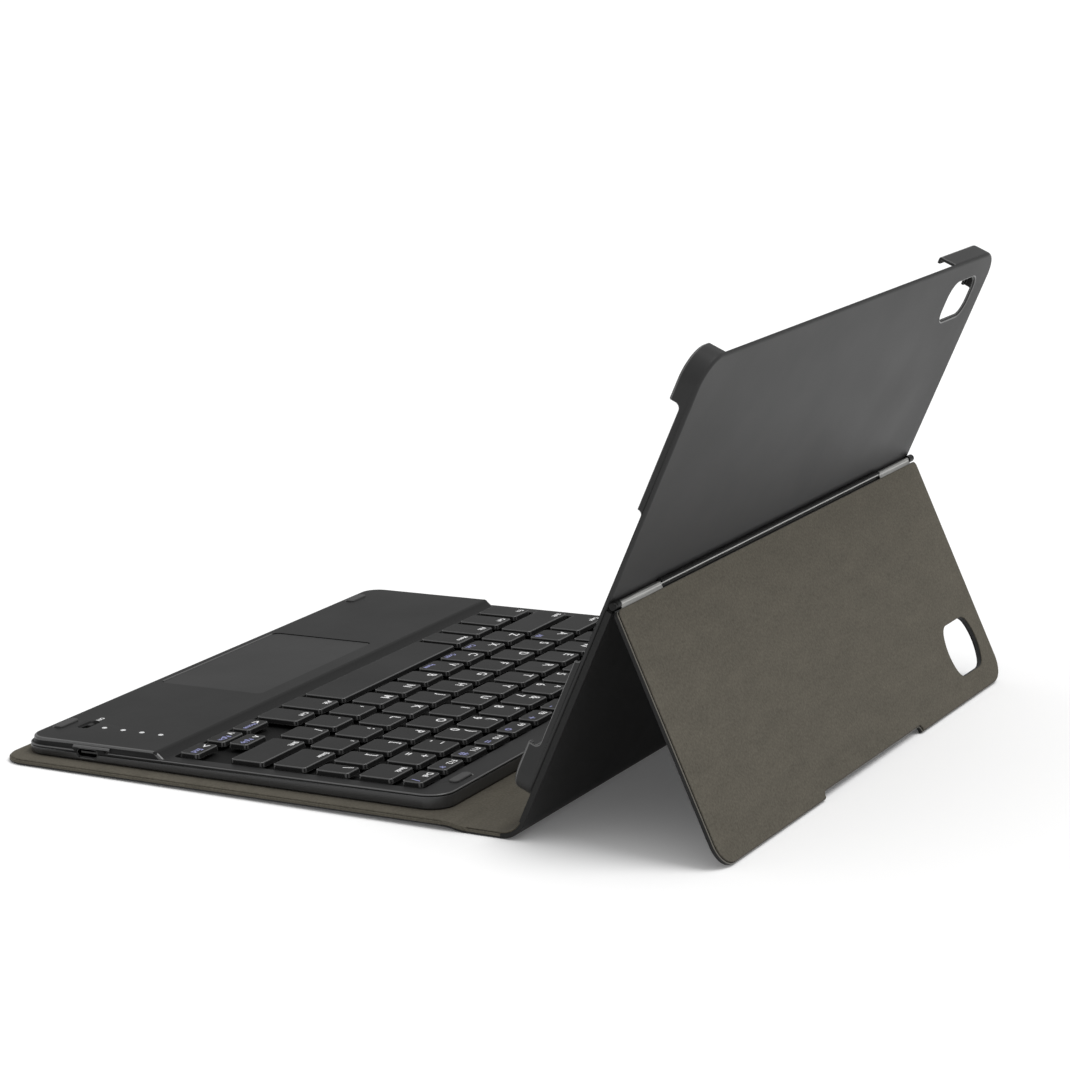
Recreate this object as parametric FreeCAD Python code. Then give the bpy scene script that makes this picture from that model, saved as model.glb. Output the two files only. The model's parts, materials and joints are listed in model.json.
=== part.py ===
import FreeCAD, Part
import math
import os

# Tablet keyboard case, standing open in its typing position.
# Millimetres and degrees. X is the typist's right, Y runs from the typist to the back, Z is up.
# The origin is on the table in the middle of the footprint.

os.makedirs("parts", exist_ok=True)

# Wrap: cover, spine and back panel, each a skin, a stiffener board and a lining
WRAP_WIDTH = 263.2
WRAP_THICKNESS = 2.2
SKIN = 0.6
LINING = 0.6
TURNED_EDGE = 0.8
LINING_INSET = 0.5
COVER_LENGTH = 181.2
COVER_CORNER = 9.5
STEP_RADIUS = 18.0
STEP_ANGLE = 15.0
SPINE_WIDTH = 12.75
REAR_FOLD_REACH = 5.8
FOLD_THICKNESS = 1.2
FOLD_GAP = 0.05

# Tray: moulded shell that leans back, open towards the typist
TRAY_LEAN = 66.65
TRAY_WIDTH = 262.0
TRAY_FOOT = 12.5
TRAY_TOP = 180.0
TRAY_DEPTH = 7.8
TRAY_CORNER = 11.0
TRAY_WALL = 1.3
TRAY_PLATE = 1.2
TRAY_LIP = 1.4
TRAY_LIP_THICKNESS = 1.2
TRAY_BACK_ROUND = 1.4
SIDE_RIM = 3.4
TOP_RIM = 1.2
LOW_RIM = 1.5
TOP_CLIP_DROP = 18.0
FOOT_CLIP_RISE = 20.5
NEAR_TOP_CLIP = 14.0
FAR_TOP_CLIP = 44.0
FOOT_CLIP = 40.0
PORT_CUT = (66.95, 123.95)
CAMERA_WINDOW = (25.0, 15.6, 5.5)
CAMERA_WINDOW_FROM_SIDE = 25.7
CAMERA_WINDOW_FROM_TOP = 16.9
CAMERA_BEVEL = 0.8

# Kickstand flap and its hinge
HINGE_HEIGHT = 90.25
HINGE_DEPTH = -0.35
HINGE_RADIUS = 1.4
ROD_RADIUS = 0.7
RUNNING_CLEARANCE = 0.05
BARREL_OPENING_TURN = -37.0
HINGE_FLANGE = (79.2, 88.0)
LEAF_SPAN = (96.0, 126.5)
LEAF_LENGTH = 11.0
LEAF_THICKNESS = 0.5
KNUCKLE_RADIUS = 1.0
BARREL_END = 129.5
END_CAP = 1.6
FLAP_WIDTH = 262.0
FLAP_ROOT = 1.75
FLAP_LENGTH = 92.0
FLAP_THICKNESS = 2.3
FLAP_BELOW_AXIS = 0.9
FLAP_CORNER = 9.0
FLAP_ROOT_CORNER = 2.0
FLAP_NOTCH = (91.0, 2.4)
FLAP_HOLE_RADIUS = 14.4
FLAP_HOLE_FLATS = 20.4
FLAP_HOLE_CORNER = 6.0
FLAP_HOLE_FROM_SIDE = 25.0
FLAP_HOLE_FROM_EDGE = 18.8

# Keyboard housing, a wedge on the cover, measured from the cover's front edge
KEYBOARD_TILT = 1.044
KEYBOARD_FRONT = 4.8
KEYBOARD_WIDTH = 248.8
KEYBOARD_DEPTH = 173.5
KEYBOARD_CORNER = 9.0
HOUSING_WALL = 1.4
BASE_GAP = WRAP_THICKNESS + 0.1
BASE_FLOOR = 3.2
BASE_PLATE = 0.9
PARTING = 5.0
DECK_TOP = 5.8
PALM_TOP = 8.3
PALM_REST = 57.0
PALM_SLOPE_END = 60.0
PALM_SLOPE_ROUND = 3.0
PALM_LEDGE = 1.2
PALM_PLATE = 1.2
WELL = (118.6, 61.4, 162.8)
WELL_FRAME = 1.0
RIBS = (-76.0, 0.0, 76.0)
RIB = 1.2

# Keys: 14 units across, bottom row deeper, function row shorter
KEY_FIELD = 234.0
KEY_GAP = 3.5
KEY_BOTTOM = 5.3
KEY_TOP = 7.3
KEY_TAPER = 0.3
KEY_CORNER = 0.9
ROW_UNITS = 14.0
ROW_PITCH = 17.25
ROW_DEPTH = 13.2
BOTTOM_ROW_FRONT = 63.2
BOTTOM_ROW_DEPTH = 17.2
HALF_KEY_DEPTH = 7.6
LOWER_ROW_FRONT = 84.4
FUNCTION_ROW_DEPTH = 7.8
DOME_RADIUS = 2.2
DOME_SIDES = 5

# Keyboard insides
MEMBRANE = 0.3
KEY_PLATE = 0.4
TOUCHPAD = (82.7, 44.4, 5.1)
TOUCHPAD_CORNER = 2.5
TOUCHPAD_GAP = 0.2
TOUCHPAD_RECESS = 0.25
TOUCHPAD_PLATE = 1.0
TOUCHPAD_BOARD = 0.8
PORT_FROM_FRONT = 28.7
PORT = (8.94, 3.2, 7.3)
PORT_WALL = 0.3
PORT_BOSS = (22.5, 38.0)
PIN_HOLE = (36.2, 0.6)
LIGHTS_FROM_SIDE = 20.7
FIRST_LIGHT = 22.2
LIGHT_SPACING = 8.1
LIGHT_RADIUS = 0.65
LIGHT_SIDES = 8
SWITCH_CENTRE = (102.0, 14.2)
SWITCH_SLOT = (8.0, 2.8)
SWITCH_RECESS = (10.0, 4.6, 0.6)
SWITCH_KNOB = (3.2, 2.2)
SWITCH_TRAVEL = 2.4
BUMPER = (12.0, 4.0)
BUMPER_FRONT = (104.0, 5.6)
BUMPER_REAR = (102.0, 168.0)
BUMPER_PROUD = 0.6
BUMPER_SET_IN = 0.5
SCREW_COLUMNS = (-90.0, 90.0)
SCREW_ROWS = (54.0, 167.5)
SCREW_RADIUS = 0.75
SCREW_HEAD = 1.6
SCREW_SIDES = 8
BOSS_SIZE = 4.0
MAGNET = (20.0, 5.0, 0.9)
MAGNET_COLUMNS = (-60.0, 60.0)
MAGNET_ROWS = (53.0, 167.5)
BATTERY = ((-106.0, -46.0), (8.0, 46.0), 3.2)
CONTROLLER = ((64.0, 117.0), (6.0, 48.0), (4.2, 5.0))

# Side view of the open case, worked out from the driving dimensions
HALF = WRAP_THICKNESS / 2
REAR_FOLD_RADIUS = REAR_FOLD_REACH / math.tan(math.radians(TRAY_LEAN / 2))


def turned(y, z, angle):
    """Return a point of the side view turned about the X axis."""
    c = math.cos(math.radians(angle))
    s = math.sin(math.radians(angle))
    return (y * c - z * s, y * s + z * c)


def moved(start, y, z, angle):
    """Return a point given in a frame that starts at a point and is turned by an angle."""
    dy, dz = turned(y, z, angle)
    return (start[0] + dy, start[1] + dz)


def bent(start, angle, turn, radius):
    """Return the end of an arc that leaves a point in one direction and turns."""
    side = math.copysign(radius, turn)
    centre = moved(start, 0, side, angle)
    return moved(centre, 0, -side, angle + turn)


# The spine lies on the table and the front fold steps up from it, so the cover tilts a little
step = 2 * STEP_RADIUS * (1 - math.cos(math.radians(STEP_ANGLE)))
COVER_TILT = math.degrees(math.asin(step / COVER_LENGTH))
WEDGE = KEYBOARD_TILT - COVER_TILT

cover_end = turned(COVER_LENGTH, HALF, COVER_TILT)
crease_front = bent(cover_end, COVER_TILT, -STEP_ANGLE - COVER_TILT, STEP_RADIUS)
spine_start = bent(crease_front, -STEP_ANGLE, STEP_ANGLE, STEP_RADIUS)
crease_rear = moved(spine_start, SPINE_WIDTH + REAR_FOLD_REACH, 0, 0)
hinge_axis = moved(crease_rear, HINGE_HEIGHT, HINGE_DEPTH, TRAY_LEAN)
foot_sine = hinge_axis[1] / math.hypot(FLAP_LENGTH, FLAP_BELOW_AXIS)
FLAP_ANGLE = math.degrees(math.atan2(FLAP_BELOW_AXIS, FLAP_LENGTH) - math.asin(foot_sine))
flap_edge = moved(hinge_axis, FLAP_LENGTH - LINING_INSET, FLAP_THICKNESS - FLAP_BELOW_AXIS, FLAP_ANGLE)
FRONT_Y = -flap_edge[0] / 2


def placement(point, angle):
    """Return the placement of a frame at a point of the side view."""
    base = FreeCAD.Vector(0, FRONT_Y + point[0], point[1])
    return FreeCAD.Placement(base, FreeCAD.Rotation(FreeCAD.Vector(1, 0, 0), angle))


ON_COVER = placement((0, 0), COVER_TILT)
ON_KEYBOARD = placement((0, 0), KEYBOARD_TILT)
ON_SPINE = placement(spine_start, 0)
ON_TRAY = placement(crease_rear, TRAY_LEAN)
ON_FLAP = placement(hinge_axis, FLAP_ANGLE)

X_AXIS = FreeCAD.Vector(1, 0, 0)
Z_AXIS = FreeCAD.Vector(0, 0, 1)


def save(node, shape, place):
    """Write one sub-part, moved from its own frame into the open case."""
    shape.transformed(place.toMatrix(), True).exportStep("parts/" + node + ".step")


# Shapes that the sub-parts share


def box(x, y, z):
    """Return a box between pairs of limits."""
    corner = FreeCAD.Vector(x[0], y[0], z[0])
    return Part.makeBox(x[1] - x[0], y[1] - y[0], z[1] - z[0], corner)


def rounded_wire(x, y, z, low, high):
    """Return a rectangle with one corner radius at its low Y end and one at its high Y end."""
    edges = []
    ends = []
    corners = ((1, 0, low, 270), (1, 1, high, 0), (0, 1, high, 90), (0, 0, low, 180))
    for right, top, radius, start in corners:
        centre = FreeCAD.Vector(x[right] + radius * (1 - 2 * right), y[top] + radius * (1 - 2 * top), z)
        for angle in (start, start + 90):
            dy, dz = turned(radius, 0, angle)
            ends.append(centre + FreeCAD.Vector(dy, dz, 0))
        if radius:
            edges.append(Part.makeCircle(radius, centre, Z_AXIS, start, start + 90))
    for n in range(4):
        edges.append(Part.makeLine(ends[2 * n + 1], ends[(2 * n + 2) % 8]))
    return Part.Wire(Part.sortEdges(edges)[0])


def plate(x, y, z, low, high):
    """Return a plate with rounded corners at its two Y ends."""
    return prism(rounded_wire(x, y, z[0], low, high), z[1] - z[0])


def cut_corner_wire(x, y, z, cut):
    """Return a rectangle with its corners cut off straight."""
    points = [(x[0] + cut, y[0]), (x[1] - cut, y[0]), (x[1], y[0] + cut), (x[1], y[1] - cut),
              (x[1] - cut, y[1]), (x[0] + cut, y[1]), (x[0], y[1] - cut), (x[0], y[0] + cut)]
    return Part.makePolygon([FreeCAD.Vector(px, py, z) for px, py in points + points[:1]])


def even_wire(centre, radius, z, sides):
    """Return an even polygon about a centre."""
    points = []
    for n in range(sides + 1):
        dx, dy = turned(radius, 0, 360 * n / sides)
        points.append(FreeCAD.Vector(centre[0] + dx, centre[1] + dy, z))
    return Part.makePolygon(points)


def prism(wire, height):
    """Return a solid drawn up from an outline."""
    return Part.Face(wire).extrude(FreeCAD.Vector(0, 0, height))


def soft_box(x, y, z, radius):
    """Return a box whose four edges along X are rounded."""
    block = box(x, y, z)
    edges = [e for e in block.Edges if abs(e.tangentAt(e.FirstParameter).x) > 0.99]
    return block.makeFillet(radius, edges)


def level_edges(shape, z, rear=math.inf):
    """Return the edges that lie at one height, in front of a depth."""
    low = z - 0.01
    high = z + 0.01
    level = [e for e in shape.Edges if low < e.BoundBox.ZMin and e.BoundBox.ZMax < high]
    return [e for e in level if e.CenterOfMass.y < rear]


def along_x(profile, x):
    """Return a side-view outline drawn out along X."""
    points = [FreeCAD.Vector(x[0], y, z) for y, z in profile]
    face = Part.Face(Part.makePolygon(points + points[:1]))
    return face.extrude(FreeCAD.Vector(x[1] - x[0], 0, 0))


def rod_x(radius, x, y, z):
    """Return a round bar along X."""
    return Part.makeCylinder(radius, x[1] - x[0], FreeCAD.Vector(x[0], y, z), X_AXIS)


def mid(width):
    """Return limits that lie evenly about zero."""
    return (-width / 2, width / 2)


def grown(limits, amount):
    """Return limits moved outwards by an amount."""
    return (limits[0] - amount, limits[1] + amount)


def joined(shapes):
    """Return the shapes as one solid."""
    return shapes[0].fuse(shapes[1:]).removeSplitter()


# Wrap


def layers(bottom, top):
    """Return the height limits of skin with its turned edge, board and lining."""
    lining_floor = top - LINING
    return (bottom, lining_floor), (bottom + SKIN, lining_floor), (lining_floor, top)


def make_cover():
    """Cover: skin with a turned edge, board with magnets let in, lining."""
    end = COVER_LENGTH
    edge, board, lining = layers(0, WRAP_THICKNESS)
    skin = plate(mid(WRAP_WIDTH), (0, end), edge, COVER_CORNER, 0)
    skin = skin.makeChamfer(SKIN / 2, level_edges(skin, 0, end - 1))
    inner = mid(WRAP_WIDTH - 2 * TURNED_EDGE)
    inner_corner = COVER_CORNER - TURNED_EDGE
    skin = skin.cut(plate(inner, (TURNED_EDGE, end + 1), board, inner_corner, 0))
    core = plate(inner, (TURNED_EDGE, end), board, inner_corner, 0)
    magnets = magnet_bars(board[0])
    pockets = [bar.BoundBox for bar in magnets]
    core = core.cut([box((b.XMin, b.XMax), (b.YMin, b.YMax), board) for b in pockets])
    lining_width = mid(WRAP_WIDTH - 2 * LINING_INSET)
    top = plate(lining_width, (LINING_INSET, end), lining, COVER_CORNER - LINING_INSET, 0)
    top = top.makeChamfer(LINING / 2, level_edges(top, WRAP_THICKNESS, end - 1))
    save("cover_skin", skin, ON_COVER)
    save("cover_board", core, ON_COVER)
    save("cover_lining", top, ON_COVER)
    save("cover_magnets", Part.makeCompound(magnets), ON_COVER)


def magnet_bars(floor):
    """Bar magnets below the keyboard's own, at one height."""
    bars = []
    for x in MAGNET_COLUMNS:
        for y in MAGNET_ROWS:
            x_limits = grown((x, x), MAGNET[0] / 2)
            y_limits = grown((KEYBOARD_FRONT + y, KEYBOARD_FRONT + y), MAGNET[1] / 2)
            bars.append(box(x_limits, y_limits, (floor, floor + MAGNET[2])))
    return bars


def make_spine():
    """Spine strip: the skin is turned up along its two sides, below the lining."""
    edge, board, lining = layers(-HALF, HALF)
    length = (0, SPINE_WIDTH)
    inner = mid(TRAY_WIDTH - 2 * TURNED_EDGE)
    skin = box(mid(TRAY_WIDTH), length, edge).cut(box(inner, grown(length, 1), board))
    save("spine_skin", skin, ON_SPINE)
    save("spine_board", box(inner, length, board), ON_SPINE)
    save("spine_lining", box(mid(TRAY_WIDTH - 2 * LINING_INSET), length, lining), ON_SPINE)


def make_back_panel():
    """Back panel up to the hinge: the turned skin covers the lining's two sides."""
    edge, board, lining = layers(-HALF, HALF)
    length = (REAR_FOLD_REACH, HINGE_FLANGE[1])
    inner = mid(TRAY_WIDTH - 2 * TURNED_EDGE)
    skin = box(mid(TRAY_WIDTH), length, (edge[0], lining[1]))
    skin = skin.cut(box(inner, grown(length, 1), (board[0], lining[1] + 1)))
    save("back_panel_skin", skin, ON_TRAY)
    save("back_panel_board", box(inner, length, board), ON_TRAY)
    save("back_panel_lining", box(inner, (length[0], HINGE_FLANGE[0] - 0.2), lining), ON_TRAY)


def make_folds():
    """Soft creases: skin and lining alone, bent round axes along X."""
    down = fold_arc(cover_end, COVER_TILT, -STEP_ANGLE - COVER_TILT, STEP_RADIUS, 0)
    up = fold_arc(crease_front, -STEP_ANGLE, STEP_ANGLE, STEP_RADIUS, FOLD_GAP)
    save("front_fold", joined([down, up]), FreeCAD.Placement())
    spine_end = moved(spine_start, SPINE_WIDTH, 0, 0)
    save("rear_fold", fold_arc(spine_end, 0, TRAY_LEAN, REAR_FOLD_RADIUS, FOLD_GAP), FreeCAD.Placement())


def fold_arc(start, angle, turn, radius, gap):
    """Strip across the whole width, bent from a point of the side view and short of its end by a gap."""
    left, right = mid(TRAY_WIDTH)
    low = -HALF
    high = FOLD_THICKNESS - HALF
    corners = ((left, low), (right, low), (right, high), (left, high), (left, low))
    face = Part.Face(Part.makePolygon([FreeCAD.Vector(x, 0, z) for x, z in corners]))
    short = math.copysign(math.degrees(gap / radius), turn)
    strip = face.revolve(FreeCAD.Vector(0, 0, math.copysign(radius, turn)), X_AXIS, turn - short)
    strip.Placement = placement(start, angle)
    return strip


# Tray


def make_tray():
    """Tray moulded in one piece: plate, low rims, four full-height corner clips."""
    front = HALF + TRAY_DEPTH
    lip = front - TRAY_LIP_THICKNESS
    tray = tray_plate(0, (HALF, front))
    tray = tray.makeFillet(TRAY_BACK_ROUND, level_edges(tray, HALF))
    tray = tray.makeChamfer(TRAY_LIP_THICKNESS / 2, level_edges(tray, front))
    hollow = tray_plate(TRAY_WALL, (HALF + TRAY_PLATE, lip))
    mouth = tray_plate(TRAY_WALL + TRAY_LIP, (lip - 1, front + 1))
    tray = tray.cut([hollow, mouth])
    tray = tray.cut(tray_side_cuts(front) + tray_end_cuts(front))
    save("tray_shell", cut_camera_window(tray), ON_TRAY)


def tray_plate(inset, z):
    """Tray outline, drawn in by an inset."""
    x = grown(mid(TRAY_WIDTH), -inset)
    y = grown((TRAY_FOOT, TRAY_TOP), -inset)
    return plate(x, y, z, TRAY_CORNER - inset, TRAY_CORNER - inset)


def tray_side_cuts(front):
    """Side walls lowered between the clips, and lower still along the port."""
    reach = (TRAY_WIDTH / 2 - TRAY_WALL - TRAY_LIP - 1, TRAY_WIDTH / 2 + 1)
    between_clips = (TRAY_FOOT + FOOT_CLIP_RISE, TRAY_TOP - TOP_CLIP_DROP)
    cuts = []
    for side in (1, -1):
        x = sorted((side * reach[0], side * reach[1]))
        cuts.append(soft_box(x, between_clips, (HALF + SIDE_RIM, front + 5), 2.0))
    cuts.append(soft_box(reach, PORT_CUT, (HALF + LOW_RIM, front + 5), 1.5))
    return cuts


def tray_end_cuts(front):
    """Top and bottom walls lowered between the clips."""
    depth = TRAY_WALL + TRAY_LIP + 1
    half_width = TRAY_WIDTH / 2
    top_x = (FAR_TOP_CLIP - half_width, half_width - NEAR_TOP_CLIP)
    foot_x = (FOOT_CLIP - half_width, half_width - FOOT_CLIP)
    top = box(top_x, (TRAY_TOP - depth, TRAY_TOP + 1), (HALF + TOP_RIM, front + 5))
    foot = box(foot_x, (TRAY_FOOT - 1, TRAY_FOOT + depth), (HALF + SIDE_RIM, front + 5))
    return [top, foot]


def cut_camera_window(tray):
    """Rounded window in the plate, bevelled towards the back."""
    width, height, corner = CAMERA_WINDOW
    x = CAMERA_WINDOW_FROM_SIDE - TRAY_WIDTH / 2
    y = TRAY_TOP - CAMERA_WINDOW_FROM_TOP
    x_limits = grown((x, x), width / 2)
    y_limits = grown((y, y), height / 2)
    tray = tray.cut(plate(x_limits, y_limits, (HALF - 1, HALF + TRAY_PLATE + 1), corner, corner))
    wide = rounded_wire(grown(x_limits, CAMERA_BEVEL), grown(y_limits, CAMERA_BEVEL), HALF,
                        corner + CAMERA_BEVEL, corner + CAMERA_BEVEL)
    narrow = rounded_wire(x_limits, y_limits, HALF + CAMERA_BEVEL, corner, corner)
    return tray.cut(Part.makeLoft([wide, narrow], True, True))


# Kickstand


def make_hinge():
    """Fixed half of the hinge: open barrel on a flange, rod and end caps."""
    whole = mid(2 * BARREL_END)
    bore = rod_x(ROD_RADIUS + RUNNING_CLEARANCE, whole, HINGE_HEIGHT, HINGE_DEPTH)
    inner_end = LEAF_SPAN[0] - 0.2
    outer_start = LEAF_SPAN[1] + 0.2
    stretches = ((-BARREL_END, -outer_start), (-inner_end, inner_end), (outer_start, BARREL_END))
    flange_z = (HALF - LINING, HALF)
    pieces = [box(whole, HINGE_FLANGE, flange_z)]
    for stretch in stretches:
        pieces.append(rod_x(HINGE_RADIUS, stretch, HINGE_HEIGHT, HINGE_DEPTH))
        pieces.append(box(stretch, (HINGE_FLANGE[1] - 0.5, HINGE_HEIGHT), flange_z))
    barrel = joined(pieces).cut([bore, barrel_opening(inner_end)])
    save("hinge_barrel", barrel, ON_TRAY)
    save("hinge_rod", rod_x(ROD_RADIUS, whole, HINGE_HEIGHT, HINGE_DEPTH), ON_TRAY)
    caps = []
    for side in (1, -1):
        x = sorted((side * BARREL_END, side * (BARREL_END + END_CAP)))
        caps.append(rod_x(HINGE_RADIUS, x, HINGE_HEIGHT, HINGE_DEPTH))
    save("hinge_end_caps", Part.makeCompound(caps), ON_TRAY)


def barrel_opening(end):
    """Quarter of the barrel left open towards the flap, so that the rod shows."""
    reach = 2 * HINGE_RADIUS
    y = (HINGE_HEIGHT - 0.2, HINGE_HEIGHT + reach)
    opening = box((-end - 1, end + 1), y, (HINGE_DEPTH - reach, HINGE_DEPTH - 0.05))
    opening.rotate(FreeCAD.Vector(0, HINGE_HEIGHT, HINGE_DEPTH), X_AXIS, BARREL_OPENING_TURN)
    return opening


def flap_hole(z):
    """Camera hole through the flap: a circle with two flats along the hinge and rounded corners."""
    x = FLAP_HOLE_FROM_SIDE - FLAP_WIDTH / 2
    y = FLAP_LENGTH - FLAP_HOLE_FROM_EDGE
    half = FLAP_HOLE_FLATS / 2
    round_hole = Part.makeCylinder(FLAP_HOLE_RADIUS, z[1] - z[0], FreeCAD.Vector(x, y, z[0]))
    hole = round_hole.common(box(grown((x, x), 2 * FLAP_HOLE_RADIUS), grown((y, y), half), z))
    upright = [e for e in hole.Edges if e.BoundBox.ZLength > 1]
    corners = [e for e in upright if abs(e.CenterOfMass.y - y) > half - 0.01]
    return hole.makeFillet(FLAP_HOLE_CORNER, corners)


def flap_notch(inset, z):
    """Finger notch in the middle of the flap's free edge."""
    width, depth = FLAP_NOTCH
    x = mid(width + 2 * inset)
    y = (FLAP_LENGTH - depth - inset, FLAP_LENGTH + 5)
    return plate(x, y, z, depth * 0.8, 0)


def make_flap():
    """Flap: skin turned up on three sides, board, lining, two hinge leaves."""
    bottom = -FLAP_BELOW_AXIS
    top = bottom + FLAP_THICKNESS
    edge, board, lining = layers(bottom, top)
    y = (FLAP_ROOT, FLAP_LENGTH)
    through = (bottom - 1, top + 1)
    skin = plate(mid(FLAP_WIDTH), y, edge, FLAP_ROOT_CORNER, FLAP_CORNER).cut(flap_notch(0, through))
    inner = mid(FLAP_WIDTH - 2 * TURNED_EDGE)
    inner_corner = FLAP_CORNER - TURNED_EDGE
    inside = plate(inner, (FLAP_ROOT - 1, FLAP_LENGTH - TURNED_EDGE), board, 0, inner_corner)
    inside = inside.cut(flap_notch(TURNED_EDGE, through))
    core = inside.cut(box(mid(FLAP_WIDTH), (FLAP_ROOT - 2, FLAP_ROOT), board))
    leaf_z = (board[1] - LEAF_THICKNESS, board[1])
    leaves = {"hinge_leaf_right": LEAF_SPAN, "hinge_leaf_left": (-LEAF_SPAN[1], -LEAF_SPAN[0])}
    for name, span in leaves.items():
        core = core.cut(box(grown(span, 0.1), (FLAP_ROOT - 1, LEAF_LENGTH + 0.1), leaf_z))
        knuckle = rod_x(KNUCKLE_RADIUS, span, 0, 0)
        leaf = joined([knuckle, box(span, (0.5, LEAF_LENGTH), leaf_z)])
        save(name, leaf.cut(rod_x(ROD_RADIUS + RUNNING_CLEARANCE, grown(span, 1), 0, 0)), ON_FLAP)
    lining_y = (FLAP_ROOT, FLAP_LENGTH - LINING_INSET)
    lining_corner = FLAP_CORNER - LINING_INSET
    face = plate(mid(FLAP_WIDTH - 2 * LINING_INSET), lining_y, lining, FLAP_ROOT_CORNER, lining_corner)
    face = face.cut(flap_notch(LINING_INSET, through))
    hole = flap_hole(through)
    save("flap_skin", skin.cut([inside, hole]), ON_FLAP)
    save("flap_board", core.cut(hole), ON_FLAP)
    save("flap_lining", face.cut(hole), ON_FLAP)


# Keyboard housing


def from_front(limits):
    """Return depths counted from the keyboard's front edge as depths on the cover."""
    return (limits[0] + KEYBOARD_FRONT, limits[1] + KEYBOARD_FRONT)


def housing_plate(inset, z):
    """Keyboard outline, drawn in by an inset."""
    x = grown(mid(KEYBOARD_WIDTH), -inset)
    y = grown(from_front((0, KEYBOARD_DEPTH)), -inset)
    corner = KEYBOARD_CORNER - inset
    return plate(x, y, z, corner, corner)


def well_plate(grow, z):
    """Outline of the key well, moved outwards by an amount."""
    return plate(grown(mid(2 * WELL[0]), grow), grown(from_front(WELL[1:]), grow), z, 2 + grow, 2 + grow)


def port_shape(growth, x):
    """Charging port's rounded slot, drawn out along X."""
    y = grown(from_front((PORT_FROM_FRONT, PORT_FROM_FRONT)), PORT[0] / 2 + growth)
    z = grown((PARTING, PARTING), PORT[1] / 2 + growth)
    return soft_box(x, y, z, PORT[1] / 2 + growth - 0.05)


def screw_places():
    """Places of the housing screws."""
    return [(x, y + KEYBOARD_FRONT) for x in SCREW_COLUMNS for y in SCREW_ROWS]


def base_bottom(y):
    """Height of the lower housing's underside, parallel to the cover."""
    wedge = math.radians(WEDGE)
    return BASE_GAP / math.cos(wedge) - y * math.tan(wedge)


def screw(x, y, growth):
    """Countersunk screw driven from below, or its hole with a growth."""
    bottom = base_bottom(y) - 0.03
    neck_z = bottom + SCREW_HEAD - SCREW_RADIUS
    neck = even_wire((x, y), SCREW_RADIUS + growth, neck_z, SCREW_SIDES)
    rim = even_wire((x, y), SCREW_HEAD + growth, bottom, SCREW_SIDES)
    shank = prism(neck, PARTING - 0.2 + growth - neck_z)
    return joined([Part.makeLoft([rim, neck], True, True), shank])


def below_base(rise):
    """All that lies below a plane parallel to the cover, at a rise above the underside."""
    block = box(mid(2 * KEYBOARD_WIDTH), (-50, 250), (-50, BASE_GAP + rise))
    block.rotate(FreeCAD.Vector(0, 0, 0), X_AXIS, -WEDGE)
    return block


def base_supports():
    """Ribs, pads below magnets and screw bosses, and a stop for the touchpad's switch."""
    level = (-1, BASE_FLOOR)
    supports = [box(grown((x, x), RIB / 2), from_front((14, WELL[2])), level) for x in RIBS]
    for bar in magnet_bars(BASE_FLOOR):
        limits = bar.BoundBox
        supports.append(box((limits.XMin, limits.XMax), (limits.YMin, limits.YMax), level))
    for x, y in screw_places():
        supports.append(box(grown((x, x), BOSS_SIZE / 2), grown((y, y), BOSS_SIZE / 2), level))
    supports.append(box(mid(3), from_front((9.5, 12.5)), (-1, PARTING)))
    return supports


def make_housing():
    """Wedge-shaped lower housing, and upper housing with the raised palm rest and the key well."""
    outer_x = KEYBOARD_WIDTH / 2
    port = port_shape(0.12, (outer_x - 8, outer_x + 1))
    screw_holes = [screw(x, y, 0.05) for x, y in screw_places()]
    base = housing_plate(0, (-1, PARTING)).cut(below_base(0))
    rim = [e for e in base.Edges if all(abs(v.Z - base_bottom(v.Y)) < 0.01 for v in e.Vertexes)]
    base = base.makeChamfer(BASE_PLATE * 0.7, rim)
    room = housing_plate(HOUSING_WALL, (-1, PARTING + 1)).cut([below_base(BASE_PLATE)] + base_supports())
    save("keyboard_base", base.cut([room, port] + screw_holes), ON_KEYBOARD)
    deck = joined([housing_plate(0, (PARTING, DECK_TOP)), palm_rest(), port_boss()])
    deck = deck.cut([palm_hollow(), well_plate(0, (PARTING - 1, DECK_TOP + 1)), port])
    frame = well_plate(WELL_FRAME, (BASE_FLOOR + MEMBRANE + KEY_PLATE + 0.05, PARTING))
    frame = frame.cut(well_plate(0, (0, PARTING + 1)))
    bosses = [screw_boss(x, y) for x, y in screw_places()]
    deck = joined([deck, frame] + bosses).cut(screw_holes)
    save("keyboard_deck", deck.cut(top_openings()), ON_KEYBOARD)


def palm_rest():
    """Raised palm rest, drawn in from the sides, that slopes down to the deck."""
    front = PALM_LEDGE
    profile = [(front, PARTING), (front, PALM_TOP), (PALM_REST, PALM_TOP), (PALM_SLOPE_END, DECK_TOP),
               (PALM_SLOPE_END, PARTING)]
    profile = [(y + KEYBOARD_FRONT, z) for y, z in profile]
    block = along_x(profile, grown(mid(KEYBOARD_WIDTH), -PALM_LEDGE))
    block = block.common(housing_plate(PALM_LEDGE, (PARTING, PALM_TOP)))
    rear = KEYBOARD_FRONT + PALM_REST - 1
    brow = [e for e in level_edges(block, PALM_TOP) if e.CenterOfMass.y > rear]
    block = block.makeFillet(PALM_SLOPE_ROUND, brow)
    return block.makeChamfer(0.6, level_edges(block, PALM_TOP, rear - PALM_SLOPE_ROUND))


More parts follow.
